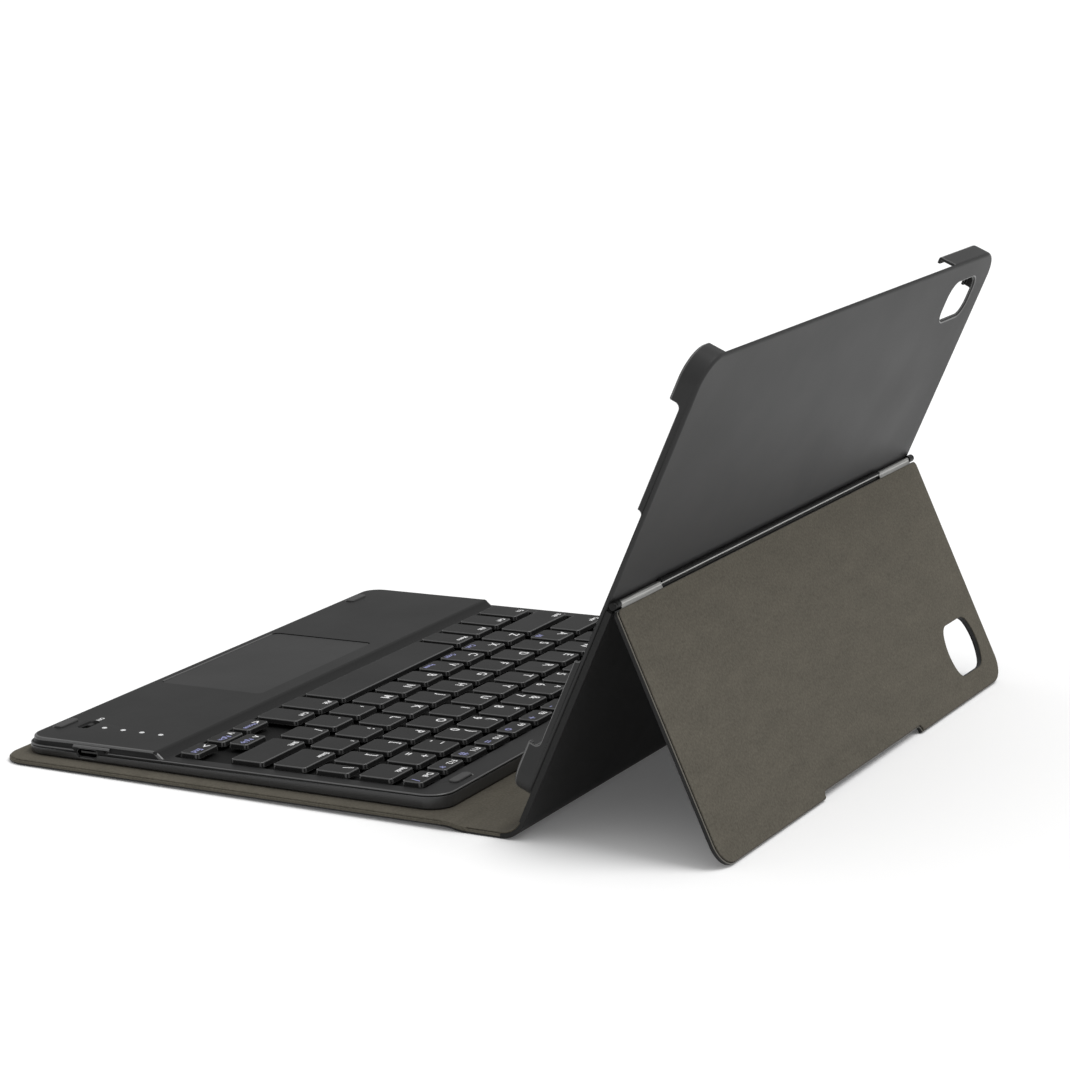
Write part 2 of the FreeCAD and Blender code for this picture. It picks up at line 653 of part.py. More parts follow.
def palm_hollow():
    """Room below the palm rest."""
    inset = PALM_LEDGE + HOUSING_WALL
    roof = PALM_TOP - PALM_PLATE
    profile = [(inset, PARTING - 1), (inset, roof), (PALM_REST - 1, roof), (PALM_SLOPE_END - 2, PARTING),
               (PALM_SLOPE_END - 2, PARTING - 1)]
    profile = [(y + KEYBOARD_FRONT, z) for y, z in profile]
    block = along_x(profile, grown(mid(KEYBOARD_WIDTH), -inset))
    return block.common(housing_plate(inset, (PARTING - 1, roof)))


def port_boss():
    """Flush side panel round the charging port."""
    x = KEYBOARD_WIDTH / 2
    block = box((x - 2 * PALM_LEDGE, x), from_front(PORT_BOSS), (PARTING, PALM_TOP - 0.8))
    edges = [e for e in level_edges(block, PALM_TOP - 0.8) if e.CenterOfMass.x > x - 0.1]
    return block.makeChamfer(0.6, edges)


def screw_boss(x, y):
    """Boss that takes a housing screw, down to the lower housing's floor."""
    front = y < KEYBOARD_FRONT + PALM_REST
    roof = PALM_TOP - PALM_PLATE if front else PARTING
    size = BOSS_SIZE / 2
    return box(grown((x, x), size), grown((y, y), size), (BASE_FLOOR, roof + 0.1))


def bumper_places():
    """Centre and surface height of each bumper."""
    places = []
    for side in (1, -1):
        places.append((side * BUMPER_FRONT[0], BUMPER_FRONT[1] + KEYBOARD_FRONT, PALM_TOP))
        places.append((side * BUMPER_REAR[0], BUMPER_REAR[1] + KEYBOARD_FRONT, DECK_TOP))
    return places


def bumper(x, y, z, growth):
    """Oblong bumper between two heights, or its seat with a growth."""
    x_limits = grown((x, x), BUMPER[0] / 2 + growth)
    y_limits = grown((y, y), BUMPER[1] / 2 + growth)
    return prism(cut_corner_wire(x_limits, y_limits, z[0], BUMPER[1] * 0.3), z[1] - z[0])


def light_places():
    """Centres of the four status lights."""
    x = KEYBOARD_WIDTH / 2 - LIGHTS_FROM_SIDE
    return [(x, KEYBOARD_FRONT + FIRST_LIGHT + n * LIGHT_SPACING) for n in range(4)]


def light_pipe(x, y, radius, z):
    """Round light pipe, or its hole."""
    return prism(even_wire((x, y), radius, z[0], LIGHT_SIDES), z[1] - z[0])


def touchpad_limits(growth):
    """Limits of the touchpad in X and along the cover."""
    width, depth, front = TOUCHPAD
    return grown(mid(width), growth), grown(from_front((front, front + depth)), growth)


def switch_limits(size):
    """Limits of a rectangle about the power switch's centre."""
    x, y = SWITCH_CENTRE
    return grown((x, x), size[0] / 2), grown(from_front((y, y)), size[1] / 2)


def top_openings():
    """Openings in the upper housing: touchpad, lights, power switch, bumper seats, pin hole."""
    through = (PALM_TOP - PALM_PLATE - 0.5, PALM_TOP + 1)
    x, y = touchpad_limits(TOUCHPAD_GAP)
    cuts = [plate(x, y, through, TOUCHPAD_CORNER, TOUCHPAD_CORNER)]
    cuts += [light_pipe(lx, ly, LIGHT_RADIUS + 0.02, through) for lx, ly in light_places()]
    x, y = switch_limits(SWITCH_SLOT)
    cuts.append(box(x, y, through))
    x, y = switch_limits(SWITCH_RECESS)
    recess_floor = PALM_TOP - SWITCH_RECESS[2]
    cuts.append(prism(cut_corner_wire(x, y, recess_floor, 1.2), SWITCH_RECESS[2] + 1))
    for bx, by, top in bumper_places():
        cuts.append(bumper(bx, by, (top - BUMPER_SET_IN, top + 1), 0.05))
    outer = KEYBOARD_WIDTH / 2
    cuts.append(rod_x(PIN_HOLE[1], (outer - 1.5, outer + 1), KEYBOARD_FRONT + PIN_HOLE[0], PARTING + 1.2))
    return cuts


# Keyboard insides


def make_insides():
    """What the housing holds."""
    floor = BASE_FLOOR
    well_x = mid(2 * WELL[0] - 0.8)
    well_y = grown(from_front(WELL[1:]), -0.3)
    plate_floor = floor + MEMBRANE
    save("key_membrane", box(grown(well_x, -1), grown(well_y, -1), (floor, plate_floor)), ON_KEYBOARD)
    save("key_plate", box(well_x, well_y, (plate_floor, plate_floor + KEY_PLATE)), ON_KEYBOARD)
    x, y, height = BATTERY
    cell = soft_box(x, from_front(y), (floor + 0.1, floor + 0.1 + height), height * 0.4)
    save("battery_cell", cell, ON_KEYBOARD)
    magnets = Part.makeCompound(magnet_bars(floor))
    save("keyboard_magnets", magnets, ON_KEYBOARD)
    save("case_screws", Part.makeCompound([screw(sx, sy, 0) for sx, sy in screw_places()]), ON_KEYBOARD)
    bumpers = []
    for bx, by, top in bumper_places():
        bumpers.append(bumper(bx, by, (top - BUMPER_SET_IN, top + BUMPER_PROUD), 0))
    save("rubber_bumpers", Part.makeCompound(bumpers), ON_KEYBOARD)


def make_electronics():
    """Controller board with its port, lights and power switch."""
    x, y, z = CONTROLLER
    outer = KEYBOARD_WIDTH / 2
    port_x = (outer - 0.2 - PORT[2], outer - 0.2)
    board = box(x, from_front(y), z).cut(port_shape(0.1, (port_x[0] - 0.1, outer)))
    save("controller_board", board, ON_KEYBOARD)
    socket = port_shape(0, port_x).cut(port_shape(-PORT_WALL, (port_x[0] + 1, outer)))
    tongue_y = grown(from_front((PORT_FROM_FRONT, PORT_FROM_FRONT)), PORT[0] / 2 - 1.1)
    tongue = box((port_x[0] + 0.5, port_x[1] - 1), tongue_y, grown((PARTING, PARTING), 0.35))
    save("usb_c_socket", joined([socket, tongue]), ON_KEYBOARD)
    pipes = [light_pipe(lx, ly, LIGHT_RADIUS, (z[1], PALM_TOP + 0.02)) for lx, ly in light_places()]
    save("status_lights", Part.makeCompound(pipes), ON_KEYBOARD)
    x, y = switch_limits((9.0, 3.6))
    save("power_switch_body", box(x, y, (z[1], z[1] + 1.6)), ON_KEYBOARD)
    x, y = switch_limits(SWITCH_KNOB)
    knob = box(x, y, (z[1] + 1.65, PALM_TOP - 0.2)).translated(FreeCAD.Vector(-SWITCH_TRAVEL / 2, 0, 0))
    knob = knob.makeChamfer(0.3, level_edges(knob, PALM_TOP - 0.2))
    save("power_switch_knob", knob, ON_KEYBOARD)


def make_touchpad():
    """Click pad: surface, sensor board and the switch below its front edge."""
    top = PALM_TOP - TOUCHPAD_RECESS
    board_top = top - TOUCHPAD_PLATE
    board_floor = board_top - TOUCHPAD_BOARD
    x, y = touchpad_limits(0)
    save("touchpad_surface", plate(x, y, (board_top, top), TOUCHPAD_CORNER, TOUCHPAD_CORNER), ON_KEYBOARD)
    x, y = touchpad_limits(-0.3)
    save("touchpad_board", box(x, y, (board_floor, board_top)), ON_KEYBOARD)
    switch_y = grown((KEYBOARD_FRONT + 11, KEYBOARD_FRONT + 11), 2.2)
    save("touchpad_switch", box(mid(4.4), switch_y, (board_floor - 0.8, board_floor)), ON_KEYBOARD)


# Keys


def row(names, widths, front, depth):
    """Split one row of keys across the field: (node, x limits, y limits) for each key."""
    unit = (KEY_FIELD + KEY_GAP) / ROW_UNITS
    x = -KEY_FIELD / 2
    keys = []
    for name, width in zip(names, widths):
        keys.append((name, (x, x + width * unit - KEY_GAP), (front, front + depth)))
        x += width * unit
    return keys


def letter_row(first, first_width, name, count, last, last_width, front):
    """A row with a wide key at each end and even keys between."""
    width = (ROW_UNITS - first_width - last_width) / count
    names = [first] + [name] * count + [last]
    return row(names, [first_width] + [width] * count + [last_width], front, ROW_DEPTH)


def bottom_row():
    """Modifiers, space bar and the four arrows, of which up and down share one place."""
    rear = BOTTOM_ROW_FRONT + BOTTOM_ROW_DEPTH
    space = 5.25
    small = (ROW_UNITS - space - 5) / 4
    names = ["modifier_keys"] * 4 + ["space_bar"] + ["modifier_keys"] * 2
    names += ["arrow_left_key", "arrow_down_key", "arrow_right_key"]
    keys = row(names, [small] * 4 + [space] + [1.0] * 5, BOTTOM_ROW_FRONT, BOTTOM_ROW_DEPTH)
    plain = [key for key in keys if not key[0].startswith("arrow")]
    arrows = []
    for name, x, y in keys[len(plain):]:
        arrows.append((name, x, (BOTTOM_ROW_FRONT, BOTTOM_ROW_FRONT + HALF_KEY_DEPTH)))
    up = ("arrow_up_key", arrows[1][1], (rear - HALF_KEY_DEPTH, rear))
    return plain + arrows + [up]


def all_keys():
    """Every key of the field."""
    fronts = [LOWER_ROW_FRONT + n * ROW_PITCH for n in range(5)]
    keys = bottom_row()
    keys += letter_row("left_shift_key", 2.13, "lower_letter_keys", 10, "right_shift_key", 1.92, fronts[0])
    keys += letter_row("caps_key", 1.6, "home_letter_keys", 11, "enter_key", 1.46, fronts[1])
    keys += letter_row("tab_key", 1.35, "upper_letter_keys", 12, "upper_letter_keys", 0.71, fronts[2])
    keys += letter_row("number_keys", 0.99, "number_keys", 12, "backspace_key", 1.13, fronts[3])
    function_names = ["escape_key"] + ["function_keys"] * 13
    keys += row(function_names, [1.0] * 14, fronts[4], FUNCTION_ROW_DEPTH)
    return keys


def key_cap(x, y):
    """Flat key cap whose sides taper a little towards the top."""
    y = from_front(y)
    foot = cut_corner_wire(grown(x, KEY_TAPER), grown(y, KEY_TAPER), KEY_BOTTOM, KEY_CORNER)
    top = cut_corner_wire(x, y, KEY_TOP, KEY_CORNER)
    return Part.makeLoft([foot, top], True, True)


def make_keys():
    """Key caps by node, and one rubber dome below each cap."""
    caps = {}
    domes = []
    dome_floor = BASE_FLOOR + MEMBRANE + KEY_PLATE
    for name, x, y in all_keys():
        caps.setdefault(name, []).append(key_cap(x, y))
        centre = (sum(x) / 2, KEYBOARD_FRONT + sum(y) / 2)
        domes.append(prism(even_wire(centre, DOME_RADIUS, dome_floor, DOME_SIDES), KEY_BOTTOM - dome_floor))
    for name, solids in caps.items():
        save(name, Part.makeCompound(solids), ON_KEYBOARD)
    save("rubber_domes", Part.makeCompound(domes), ON_KEYBOARD)


make_cover()
make_spine()
make_back_panel()
make_folds()
make_tray()
make_hinge()
make_flap()
make_housing()
make_insides()
make_electronics()
make_touchpad()
make_keys()
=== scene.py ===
import json
import math

import bmesh
import bpy
from mathutils import Matrix, Vector


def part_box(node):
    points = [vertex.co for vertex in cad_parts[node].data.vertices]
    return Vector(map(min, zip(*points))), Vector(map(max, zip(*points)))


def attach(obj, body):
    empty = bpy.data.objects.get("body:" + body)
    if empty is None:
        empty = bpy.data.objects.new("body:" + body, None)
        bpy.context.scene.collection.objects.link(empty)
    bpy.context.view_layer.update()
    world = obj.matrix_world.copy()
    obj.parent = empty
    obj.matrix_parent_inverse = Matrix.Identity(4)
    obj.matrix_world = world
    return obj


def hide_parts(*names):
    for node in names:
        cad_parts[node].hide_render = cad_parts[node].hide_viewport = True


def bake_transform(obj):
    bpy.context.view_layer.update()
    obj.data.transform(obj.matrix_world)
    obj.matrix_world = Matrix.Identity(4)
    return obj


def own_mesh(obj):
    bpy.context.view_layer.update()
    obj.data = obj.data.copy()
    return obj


# Tablet keyboard case, open in its typing position. Metres.

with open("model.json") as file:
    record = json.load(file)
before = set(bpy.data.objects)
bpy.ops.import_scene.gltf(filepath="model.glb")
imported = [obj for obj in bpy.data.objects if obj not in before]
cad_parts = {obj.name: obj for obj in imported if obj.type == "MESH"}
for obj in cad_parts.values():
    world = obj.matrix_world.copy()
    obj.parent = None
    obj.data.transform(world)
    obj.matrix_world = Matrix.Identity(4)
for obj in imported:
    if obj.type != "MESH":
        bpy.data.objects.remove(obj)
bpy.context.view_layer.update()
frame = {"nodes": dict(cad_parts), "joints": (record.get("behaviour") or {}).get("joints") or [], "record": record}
scene = bpy.context.scene
nodes = frame["nodes"]
joints = {joint["name"]: joint for joint in frame["joints"]}
bodies = frame["record"]["behaviour"]["bodies"]
body_of = {node: body for body, members in bodies.items() for node in members}
slot_of = {part["node"]: part["material_slot"] for part in frame["record"]["subparts"]}

# Sizes of the wrap, its folds and the flap
MM = 0.001
HALF_WRAP = 1.1 * MM
LINING = 0.6 * MM
LINING_INSET = 0.5 * MM
SKIN_AT_EDGE = 0.7 * MM
COVER_HALF_WIDTH = 131.6 * MM
SPINE_HALF_WIDTH = 131.0 * MM
STEP_RADIUS = 18.0 * MM
STEP_ANGLE = math.radians(15.0)
REAR_FOLD_REACH = 5.8 * MM
TRAY_LEAN = math.radians(66.65)
FRONT_FOLD_STEPS = 8
REAR_FOLD_STEPS = 20
FLAP_LENGTH = 92.0 * MM
FLAP_BELOW_AXIS = 0.9 * MM
FLAP_POCKET = 1.4 * MM

# Sizes of the keyboard and its lettering
RIM = 5.0 * MM
DEEP_KEY = 9.0 * MM
DOME_RADIUS = 2.2 * MM
LENS_RADIUS = 1.0 * MM
LATHE_SIDES = 20
SWITCH_RECESS = 10.0 * MM
SWITCH_WORD = 2.4 * MM
SWITCH_WORD_GAP = 0.6 * MM
SIZE_BY_LETTERS = {1: 5.2 * MM, 2: 3.4 * MM, 3: 3.4 * MM, 4: 2.9 * MM, 5: 2.9 * MM}
LEGEND_MARGIN = 1.5 * MM
LEGEND_WEIGHT = 0.1 * MM
CAPITAL_HEIGHT = 0.72
INK_ABOVE = 0.02 * MM

# Widths of rounded edges, and which edges are rounded
SOFT_EDGE = 0.25 * MM
WRAP_EDGE = 0.25 * MM
BASE_EDGE = 0.3 * MM
DECK_EDGE = 0.4 * MM
TRAY_EDGE = 0.3 * MM
FLAP_RIM = 0.3 * MM
CAP_EDGE = 0.5 * MM
BUMPER_EDGE = 0.5 * MM
KEY_EDGE = 0.35 * MM
SMALL_EDGE = 0.9 * MM
SHARP_TURN = math.radians(30)
FACES_UP = 0.5
CORNER_STEPS = 3

# Limits within which meshes count as joined, flat, smooth or level
WELD = 0.002 * MM
FLAT_TURN = math.radians(1)
SMOOTH_TURN = math.radians(50)
SAME_PLANE = 0.03 * MM
SAME_LEVEL = 0.02 * MM
TOP_BAND = 0.2 * MM

# Settings of the floor, the light and the camera
HORIZON = 0.4
OVERHEAD = 0.8
FLOOR_GLOW = 0.07
FLOOR_SHADE = 0.95
FLOOR_HALF_SIZE = 20
FLOOR_DROP = 0.1 * MM
LAMP_PLACE = (-0.15, 0.48, 1.0)
LAMP_SPREAD = math.radians(38)
LAMP_STRENGTH = 1.5
PHOTO_SIZE = 1070
PHOTO_FOCAL_PIXELS = 3407.2
SENSOR_WIDTH = 36
CLIP_START = 0.05
CAMERA_PLACE = (1.08268, 0.57229, 0.35131)
CAMERA_AZIMUTH = math.radians(117.589)
CAMERA_ELEVATION = math.radians(12.929)
CAMERA_ROLL = math.radians(-0.516)

# Directions of the open case, read from the joints
press = Vector(joints["space_bar_press"]["axis"])
pull = Vector(joints["keyboard_pull"]["axis"])
KEYBOARD_TILT = math.atan2(press.y, -press.z)
COVER_TILT = math.atan2(-pull.z, -pull.y)
crease_front = Vector(joints["spine_fold"]["pos_m"])
crease_rear = Vector(joints["tray_fold"]["pos_m"])
hinge_height = joints["flap_hinge"]["pos_m"][2]
foot_sine = hinge_height / math.hypot(FLAP_LENGTH, FLAP_BELOW_AXIS)
FLAP_ANGLE = math.atan2(FLAP_BELOW_AXIS, FLAP_LENGTH) - math.asin(foot_sine)
TO_KEYBOARD = Matrix.Rotation(-KEYBOARD_TILT, 4, "X")
FROM_KEYBOARD = Matrix.Rotation(KEYBOARD_TILT, 4, "X")

# Materials


class Surface:
    """A material with its shader, textured by place on the object."""

    def __init__(self, name):
        self.material = bpy.data.materials.new(name)
        self.material.use_nodes = True
        self.tree = self.material.node_tree
        self.shader = self.tree.nodes["Principled BSDF"]
        self.place = self.add("ShaderNodeTexCoord").outputs["Object"]

    def add(self, kind):
        return self.tree.nodes.new(kind)

    def link(self, source, target):
        self.tree.links.new(source, target)

    def set(self, **values):
        """Set sockets of the shader to values that hold all over."""
        for name, value in values.items():
            socket = name.replace("_", " ").title().replace("Ior", "IOR")
            self.shader.inputs[socket].default_value = value

    def stretched(self, scale):
        """Place on the object, scaled along each axis."""
        mapping = self.add("ShaderNodeMapping")
        mapping.inputs["Scale"].default_value = scale
        self.link(self.place, mapping.inputs["Vector"])
        return mapping.outputs["Vector"]

    def noise(self, scale, detail=2.0, place=None):
        """Cloudy pattern."""
        node = self.add("ShaderNodeTexNoise")
        node.inputs["Scale"].default_value = scale
        node.inputs["Detail"].default_value = detail
        self.link(place or self.place, node.inputs["Vector"])
        return node.outputs["Fac"]

    def cells(self, scale):
        """Pebbled pattern."""
        node = self.add("ShaderNodeTexVoronoi")
        node.inputs["Scale"].default_value = scale
        self.link(self.place, node.inputs["Vector"])
        return node.outputs["Distance"]

    def mixed(self, a, b, share=0.5):
        """Two patterns in one."""
        node = self.add("ShaderNodeMix")
        node.inputs["Factor"].default_value = share
        self.link(a, node.inputs["A"])
        self.link(b, node.inputs["B"])
        return node.outputs["Result"]

    def between(self, factor, low, high, spread=(0.3, 0.7)):
        """Pattern as a number from low to high."""
        node = self.add("ShaderNodeMapRange")
        for name, value in zip(("From Min", "From Max", "To Min", "To Max"), spread + (low, high)):
            node.inputs[name].default_value = value
        self.link(factor, node.inputs["Value"])
        return node.outputs["Result"]

    def colour(self, factor, dark, light):
        """Colour the surface from dark to light by a pattern."""
        ramp = self.add("ShaderNodeValToRGB")
        ramp.color_ramp.elements[0].position = 0.3
        ramp.color_ramp.elements[0].color = dark + (1,)
        ramp.color_ramp.elements[1].position = 0.7
        ramp.color_ramp.elements[1].color = light + (1,)
        self.link(factor, ramp.inputs["Fac"])
        self.link(ramp.outputs["Color"], self.shader.inputs["Base Color"])

    def roughness(self, factor, low, high):
        """Vary the gloss by a pattern."""
        self.link(self.between(factor, low, high), self.shader.inputs["Roughness"])

    def bump(self, height, strength, distance):
        """Raise the surface by a pattern."""
        node = self.add("ShaderNodeBump")
        node.inputs["Strength"].default_value = strength
        node.inputs["Distance"].default_value = distance
        self.link(height, node.inputs["Height"])
        self.link(node.outputs["Normal"], self.shader.inputs["Normal"])


def grey(level):
    """Neutral colour."""
    return (level, level, level)


def leather(name):
    """Black synthetic leather with a fine pebbled grain."""
    surface = Surface(name)
    patches = surface.noise(45)
    mottle = surface.mixed(patches, surface.noise(900), 0.75)
    surface.colour(mottle, grey(0.0045), (0.0085, 0.0085, 0.008))
    surface.roughness(patches, 0.55, 0.59)
    surface.set(specular_ior_level=0.3)
    surface.bump(surface.mixed(surface.cells(1400), surface.noise(2600)), 0.3, 0.05 * MM)
    return surface.material


def microfibre(name):
    """Taupe microfibre with brushed patches and single lighter fibres."""
    surface = Surface(name)
    fibres = surface.noise(1300, 5.0)
    brushed = surface.noise(1.0, 5.0, surface.stretched((55, 160, 160)))
    surface.colour(surface.mixed(fibres, brushed, 0.3), (0.062, 0.056, 0.0433), (0.114, 0.1035, 0.0825))
    surface.roughness(brushed, 0.82, 0.95)
    surface.set(specular_ior_level=0.15)
    surface.set(sheen_weight=0.12, sheen_roughness=0.5, sheen_tint=(0.6, 0.57, 0.5, 1))
    surface.bump(fibres, 0.35, 0.05 * MM)
    return surface.material


def moulded(name, dark, light, rough, grain, specular=0.35):
    """Moulded plastic with a fine spark-eroded texture."""
    surface = Surface(name)
    texture = surface.noise(grain, 3.0)
    clouds = surface.noise(28, 3.0)
    surface.colour(surface.mixed(clouds, texture), dark, light)
    surface.roughness(surface.mixed(clouds, texture, 0.3), rough - 0.04, rough + 0.05)
    surface.set(specular_ior_level=specular)
    surface.bump(texture, 0.12, 0.02 * MM)
    return surface.material


def metal(name, dark, light, rough):
    """Bare metal drawn or rolled along X."""
    surface = Surface(name)
    strokes = surface.noise(1.0, 4.0, surface.stretched((60, 2600, 2600)))
    surface.colour(strokes, dark, light)
    surface.roughness(strokes, rough - 0.06, rough + 0.08)
    surface.set(metallic=1.0)
    surface.bump(strokes, 0.1, 0.01 * MM)
    return surface.material


def printed(name, dark, light):
    """Ink of the key legends."""
    surface = Surface(name)
    surface.colour(surface.noise(1500), dark, light)
    surface.set(roughness=0.6)
    return surface.material


def lit(name, colour, strength):
    """Milky light pipe, lit from below."""
    surface = Surface(name)
    surface.colour(surface.noise(900), (0.48, 0.49, 0.5), grey(0.6))
    surface.set(roughness=0.35, emission_color=colour + (1,), emission_strength=strength)
    return surface.material


def circuit(name):
    """Green circuit board with copper runs under the lacquer."""
    surface = Surface(name)
    runs = surface.noise(1.0, 1.0, surface.stretched((300, 900, 300)))
    surface.colour(runs, (0.012, 0.06, 0.025), (0.03, 0.12, 0.05))
    surface.set(roughness=0.4)
    surface.bump(runs, 0.2, 0.03 * MM)
    return surface.material


def film(name):
    """Printed contact film below the keys."""
    surface = Surface(name)
    surface.colour(surface.noise(120), (0.24, 0.26, 0.24), (0.34, 0.36, 0.34))
    surface.set(roughness=0.3)
    return surface.material


materials = {
    "skin": leather("black_leather"),
    "lining": microfibre("taupe_microfibre"),
    "board": moulded("grey_board", grey(0.04), grey(0.06), 0.8, 700),
    "tray": moulded("tray_plastic", grey(0.034), grey(0.040), 0.42, 3200, 0.1),
    "hinge_black": moulded("black_plastic", grey(0.004), grey(0.006), 0.42, 2600, 0.2),
    "steel": metal("bare_steel", (0.40, 0.40, 0.385), (0.55, 0.55, 0.53), 0.32),
    "plate": moulded("blackened_plate", grey(0.004), grey(0.007), 0.7, 1500, 0.15),
    "magnet": metal("nickel_plate", grey(0.42), grey(0.55), 0.25),
    "housing": moulded("charcoal_plastic", grey(0.016), grey(0.020), 0.42, 3000, 0.08),
    "key": moulded("key_plastic", grey(0.011), grey(0.015), 0.4, 2800, 0.08),
    "touchpad": moulded("touchpad_film", grey(0.026), grey(0.031), 0.42, 3600, 0.1),
    "rubber": moulded("black_rubber", grey(0.022), grey(0.030), 0.6, 1800, 0.2),
    "membrane": film("contact_film"),
    "circuit": circuit("circuit_board"),
    "battery": metal("foil", grey(0.42), grey(0.55), 0.35),
    "light": lit("light_pipe", grey(1.0), 0.15),
}
white_ink = printed("white_ink", grey(0.68), grey(0.82))
violet_ink = printed("violet_ink", (0.21, 0.22, 0.42), (0.27, 0.28, 0.5))

finish = {node: materials[slot] for node, slot in slot_of.items()}
# The USB-C socket's metal is made dark: painted shade in the port's recess.
finish["usb_c_socket"] = metal("dark_nickel", grey(0.05), grey(0.09), 0.4)
# The hinge leaves get a slightly darker copy of the hinge steel: painted shade.
finish["hinge_leaf_right"] = metal("brushed_steel", (0.36, 0.36, 0.35), (0.52, 0.52, 0.5), 0.34)
finish["hinge_leaf_left"] = finish["hinge_leaf_right"]
# The base gets a glossier copy of the charcoal housing plastic that is also lighter in tone: the gloss is real,
# the lighter tone is painted light on the base's sides.
finish["keyboard_base"] = moulded("gloss_plastic", grey(0.040), grey(0.047), 0.34, 3000, 0.5)
finish["rubber_bumpers"] = moulded("grey_rubber", grey(0.040), grey(0.049), 0.5, 1800, 0.3)
# Lighter material for the rounded rim of the flap's skin: a painted highlight.
cut_edge = moulded("cut_edge", (0.115, 0.108, 0.092), (0.150, 0.140, 0.120), 0.5, 1600, 0.3)
# Edge materials for the rounded edges of keys, housing and tray: glossier than the faces, which is real gloss, and
# lighter in colour, which is a painted highlight.
edge_painted_highlight = {
    "key": moulded("key_edge", grey(0.050), grey(0.062), 0.24, 2800, 0.6),
    "housing": moulded("housing_edge", grey(0.070), grey(0.085), 0.24, 3000, 0.6),
    "tray": moulded("tray_edge", grey(0.085), grey(0.10), 0.26, 3200, 0.6),
}
for node, piece in nodes.items():
    piece.data.materials.clear()
    piece.data.materials.append(finish[node])

# Shared shapes


def new_piece(name, work, material):
    """Make an object of a worked mesh, smooth over soft edges and flat on flat faces."""
    mesh = bpy.data.meshes.new(name)
    work.to_mesh(mesh)
    work.free()
    mesh.materials.append(material)
    mesh.polygons.foreach_set("use_smooth", [True] * len(mesh.polygons))
    mesh.set_sharp_from_angle(angle=SMOOTH_TURN)
    piece = bpy.data.objects.new(name, mesh)
    scene.collection.objects.link(piece)
    flat = piece.modifiers.new("flat_faces", "WEIGHTED_NORMAL")
    flat.keep_sharp = True
    return piece


def node_mesh(node):
    """Working copy of a CAD node's mesh, with flat faces merged."""
    work = bmesh.new()
    work.from_mesh(nodes[node].data)
    bmesh.ops.remove_doubles(work, verts=work.verts, dist=WELD)
    bmesh.ops.dissolve_limit(work, angle_limit=FLAT_TURN, verts=work.verts, edges=work.edges)
    return work


def upright(angle):
    """Direction square to a panel that lies at an angle in the side view."""
    return Vector((0, -math.sin(angle), math.cos(angle)))


def on_plane(edge, plane):
    """Whether an edge lies in a plane across the side view."""
    place, angle = plane
    normal = Vector((0, math.cos(angle), math.sin(angle)))
    return all(abs((vert.co - place).dot(normal)) < SAME_PLANE for vert in edge.verts)


def sharp_edges(work):
    """Edges of a mesh that turn sharply, apart from ends that meet a fold."""
    edges = [edge for edge in work.edges if edge.is_manifold and edge.calc_face_angle() > SHARP_TURN]
    for plane in fold_ends:
        edges = [edge for edge in edges if not on_plane(edge, plane)]
    return edges


def flap_outline(work, end):
    """Edges round the flap's skin: of its outer side if end is min, of its turned-up rim if it is max."""
    up = upright(FLAP_ANGLE)
    height = {vert: vert.co.dot(up) for vert in work.verts}
    level = end(height.values())
    edges = []
    for edge in work.edges:
        flush = all(abs(height[vert] - level) < SAME_LEVEL for vert in edge.verts)
        reach = max(abs(height[vert] - level) for face in edge.link_faces for vert in face.verts)
        if flush and reach > FLAP_POCKET:
            edges.append(edge)
    return edges


def rim_edges(work):
    """Upper edges round the outline of the keyboard's housing, apart from those of its small openings."""
    places = {vert: TO_KEYBOARD @ vert.co for vert in work.verts}
    side = max(place.x for place in places.values()) - RIM
    front = min(place.y for place in places.values()) + RIM
    rear = max(place.y for place in places.values()) - RIM
    rim = {vert for vert, place in places.items() if abs(place.x) > side or not front < place.y < rear}
    edges = [edge for edge in sharp_edges(work) if edge.is_convex and edge.calc_length() > SMALL_EDGE]
    edges = [edge for edge in edges if any(-face.normal.dot(press) > FACES_UP for face in edge.link_faces)]
    return [edge for edge in edges if rim.issuperset(edge.verts)]


def round_edges(work, edges, width, segments, clamp, material):
    """Round edges of a mesh, and give the new faces a material where its index isn't negative."""
    bmesh.ops.bevel(work, geom=edges, offset=width, offset_type="OFFSET", segments=segments, profile=0.5,
                    affect="EDGES", clamp_overlap=clamp, material=material)


def softened(node, width, segments=2, chosen=sharp_edges, whole_width=False):
    """Show a CAD node with rounded edges, narrower where edges are close unless the whole width is kept."""
    work = node_mesh(node)
    if whole_width:
        bmesh.ops.connect_verts_concave(work, faces=work.faces)
    # For keys, housing and tray the rounded faces get the lighter edge material: a painted highlight along the
    # edges.
    edge = edge_painted_highlight.get(slot_of[node])
    round_edges(work, chosen(work), width, segments, clamp=not whole_width, material=1 if edge else -1)
    piece = new_piece(node + "_soft", work, finish[node])
    if edge:
        piece.data.materials.append(edge)
    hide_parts(node)
    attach(piece, body_of[node])
    return piece


# Wrap: soft folds between stiff panels


def section(half_width, low, high):
    """Closed outline of a strip across its width, with rounded corners."""
    points = []
    corners = ((1, low, -90), (1, high, 0), (-1, high, 90), (-1, low, 180))
    for side, height, start in corners:
        inward = SOFT_EDGE if height == low else -SOFT_EDGE
        for step in range(CORNER_STEPS + 1):
            angle = math.radians(start + 90 * step / CORNER_STEPS)
            x = side * (half_width - SOFT_EDGE) + SOFT_EDGE * math.cos(angle)
            points.append((x, height + inward + SOFT_EDGE * math.sin(angle)))
    return points


